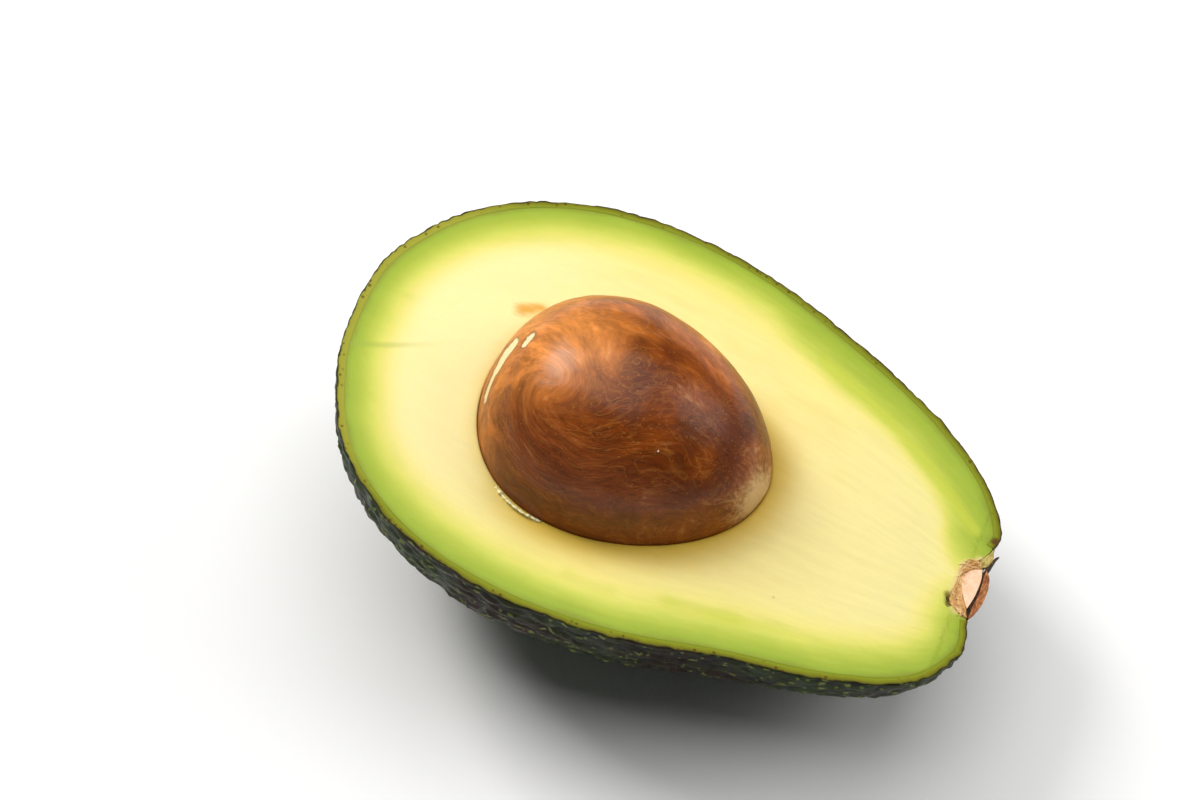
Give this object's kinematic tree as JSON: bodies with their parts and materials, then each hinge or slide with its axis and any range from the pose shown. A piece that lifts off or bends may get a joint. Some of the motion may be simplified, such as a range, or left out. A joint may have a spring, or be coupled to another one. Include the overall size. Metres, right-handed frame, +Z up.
{
  "type": "avocado half",
  "caption": "Ripe avocado cut lengthwise, with the stone still in it: peel, flesh, stone and the stub of its stalk, resting on its back with the cut face up.",
  "frame": {"origin": "middle of the flat spot on the back of the peel that the half rests on", "axes": "+X along the fruit towards the stem end, +Y towards the fuller side of the cut face, +Z up"},
  "size_m": [0.1043, 0.0713, 0.0548],
  "materials": {
    "peel": "satin",
    "flesh": "satin",
    "stone": "satin",
    "seed_coat": "matte",
    "stalk_pith": "matte",
    "stalk_bark": "matte",
    "stalk_scale": "matte"
  },
  "bodies": {
    "root": {"peel": "peel", "flesh": "flesh", "stone": "stone", "stone_coat_flake": "seed_coat", "stalk_core": "stalk_pith", "stalk_bark": "stalk_bark", "stalk_scale": "stalk_scale"}
  },
  "joints": []
}
